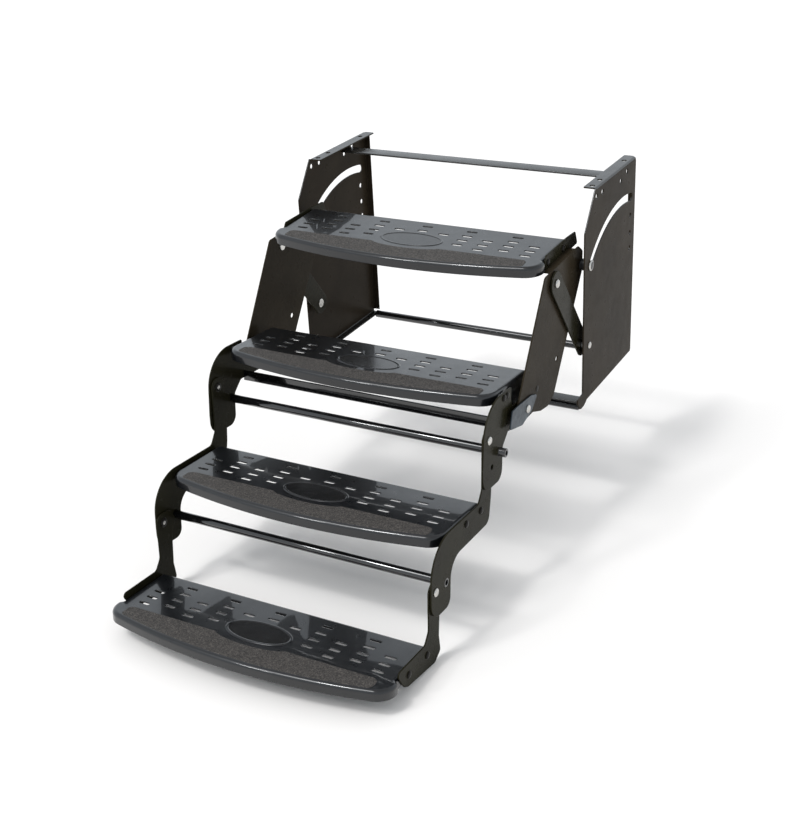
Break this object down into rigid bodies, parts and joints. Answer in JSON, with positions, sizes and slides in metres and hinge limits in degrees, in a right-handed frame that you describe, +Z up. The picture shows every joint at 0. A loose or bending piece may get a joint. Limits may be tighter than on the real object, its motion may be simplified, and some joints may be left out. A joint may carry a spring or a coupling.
{
  "type": "caravan pull out step",
  "caption": "Folding caravan entry step with bowed slotted treads on hinged side brackets, swung out of a bolted under-floor frame on links and guide rollers.",
  "frame": {"origin": "middle of the top flange bolt pattern, on the top face of the flanges", "axes": "+Z up, -Y the way the step is pulled out, +X to the right for someone facing the step"},
  "size_m": [0.697, 1.1933, 0.7054],
  "materials": {
    "frame_coat": "gloss black powder coat",
    "bracket_coat": "gloss black powder coat",
    "tread_coat": "high gloss black powder coat",
    "rod_coat": "gloss black powder coat",
    "zinc": "bright zinc plate",
    "dark_fastener": "satin black",
    "roller": "black nylon",
    "grip": "granular anti-slip strip"
  },
  "bodies": {
    "frame": {"frame_side_left": "frame_coat", "frame_side_right": "frame_coat", "top_crossbar": "frame_coat", "rear_lower_rod": "rod_coat", "front_lower_bar": "frame_coat", "front_lower_rod": "rod_coat", "frame_pivot_rivets": "zinc"},
    "links": {"swing_link_left": "bracket_coat", "swing_link_right": "bracket_coat"},
    "top_unit": {"leg_left": "bracket_coat", "leg_right": "bracket_coat", "tread_1": "tread_coat", "tread_1_grip": "grip", "tread_1_rails": "bracket_coat", "tread_1_bolts": "dark_fastener", "link_rivets": "zinc", "guide_rollers": "roller", "guide_pins": "zinc", "foot_plates": "zinc", "foot_pivot_bolts": "zinc", "foot_spacers": "dark_fastener", "stop_studs": "zinc"},
    "second_unit": {"bracket_2_left": "bracket_coat", "bracket_2_right": "bracket_coat", "tread_2": "tread_coat", "tread_2_grip": "grip", "tread_2_spacers": "dark_fastener", "tread_2_bolts": "dark_fastener", "tie_rod_2": "rod_coat", "cross_bar_2": "bracket_coat", "hinge_rivets_2": "zinc"},
    "third_unit": {"bracket_3_left": "bracket_coat", "bracket_3_right": "bracket_coat", "tread_3": "tread_coat", "tread_3_grip": "grip", "tread_3_spacers": "dark_fastener", "tread_3_bolts": "dark_fastener", "tie_rod_3": "rod_coat", "hinge_rivets_3": "zinc"},
    "fourth_unit": {"bracket_4_left": "bracket_coat", "bracket_4_right": "bracket_coat", "tread_4": "tread_coat", "tread_4_grip": "grip", "tread_4_bolts": "dark_fastener"}
  },
  "joints": [
    {"name": "pull_out", "type": "hinge", "parent": "frame", "child": "links", "pos_m": [0, -0.139, -0.337], "axis": [-1, 0, 0], "range_deg": [0, 41]},
    {"name": "top_unit_swing", "type": "hinge", "parent": "links", "child": "top_unit", "pos_m": [0, -0.287, -0.146], "axis": [1, 0, 0], "range_deg": [0, 51.66]},
    {"name": "second_lift", "type": "hinge", "parent": "top_unit", "child": "second_unit", "pos_m": [0, -0.431, -0.358], "axis": [-1, 0, 0], "range_deg": [0, 80]},
    {"name": "third_fold", "type": "hinge", "parent": "second_unit", "child": "third_unit", "pos_m": [0, -0.58831, -0.35515], "axis": [-1, 0, 0], "range_deg": [0, 178]},
    {"name": "fourth_fold", "type": "hinge", "parent": "third_unit", "child": "fourth_unit", "pos_m": [0, -0.82145, -0.55309], "axis": [-1, 0, 0], "range_deg": [0, 180]}
  ],
  "couplings": [
    {"joint": "top_unit_swing", "follows": "pull_out", "ratio": 1.26}
  ]
}
